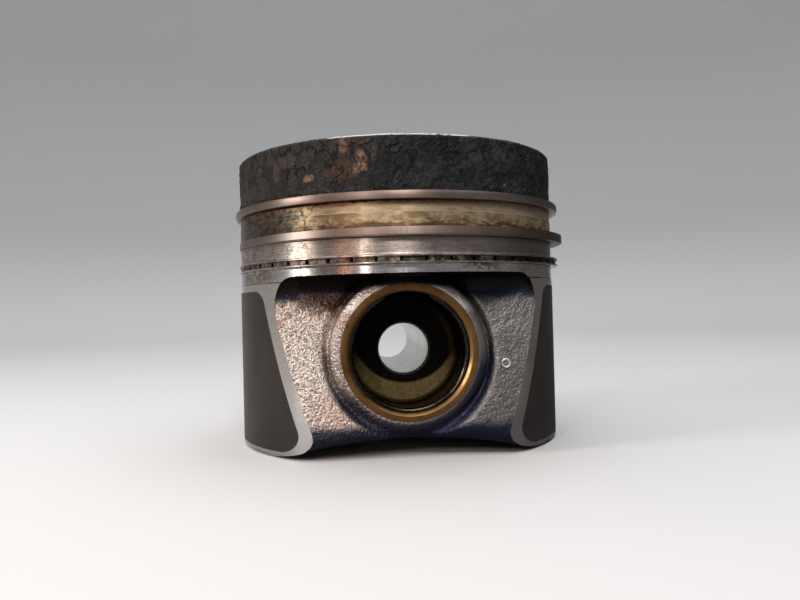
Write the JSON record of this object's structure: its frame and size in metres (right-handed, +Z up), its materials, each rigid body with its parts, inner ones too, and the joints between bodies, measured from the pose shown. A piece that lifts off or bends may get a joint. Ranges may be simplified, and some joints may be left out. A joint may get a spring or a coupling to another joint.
{
  "type": "piston",
  "caption": "Diesel engine piston: bowl crown, cast-in ring carrier, sprung rings, brass-bushed pin bore with a loose hollow wrist pin, and coated skirts.",
  "frame": {"origin": "where the piston's own axis crosses the wrist pin's axis", "axes": "+Z up through the crown, +Y along the wrist pin towards the side it is pushed out of, X towards the thrust sides"},
  "size_m": [0.0878, 0.087, 0.0728],
  "materials": {
    "cast_aluminium": "cast and turned, satin, sooted on the crown",
    "ring_carrier_iron": "turned, varnished by oil",
    "bushing_brass": "bored, oily",
    "pin_steel": "ground and polished, oily",
    "circlip_steel": "drawn spring wire",
    "ring_steel": "lapped face, heat tinted",
    "ring_iron": "taper face, satin",
    "oil_ring_steel": "polished lands, sooted web",
    "spring_steel": "ground coil wire",
    "skirt_coating": "printed graphite film, satin"
  },
  "bodies": {
    "piston": {"piston_body": "cast_aluminium", "ring_carrier": "ring_carrier_iron", "pin_bushing_front": "bushing_brass", "pin_bushing_rear": "bushing_brass", "circlip_front": "circlip_steel", "skirt_coating_left": "skirt_coating", "skirt_coating_right": "skirt_coating"},
    "pin": {"wrist_pin": "pin_steel"},
    "top_ring": {"top_compression_ring": "ring_steel"},
    "second_ring": {"second_compression_ring": "ring_iron"},
    "oil_ring": {"oil_control_ring": "oil_ring_steel", "oil_ring_spring": "spring_steel", "spring_latch_wire": "spring_steel"}
  },
  "joints": [
    {"name": "wrist_pin_slide", "type": "slide", "parent": "piston", "child": "pin", "axis": [0, 1, 0], "range_m": [-0.0136, 0.04]},
    {"name": "top_ring_turn", "type": "hinge", "parent": "piston", "child": "top_ring", "pos_m": [0.00038, 0, 0.035], "axis": [0, 0, 1], "continuous": true},
    {"name": "second_ring_turn", "type": "hinge", "parent": "piston", "child": "second_ring", "pos_m": [0.00136, 0, 0.027], "axis": [0, 0, 1], "continuous": true},
    {"name": "oil_ring_turn", "type": "hinge", "parent": "piston", "child": "oil_ring", "pos_m": [0.0006, 0, 0.021], "axis": [0, 0, 1], "continuous": true}
  ]
}
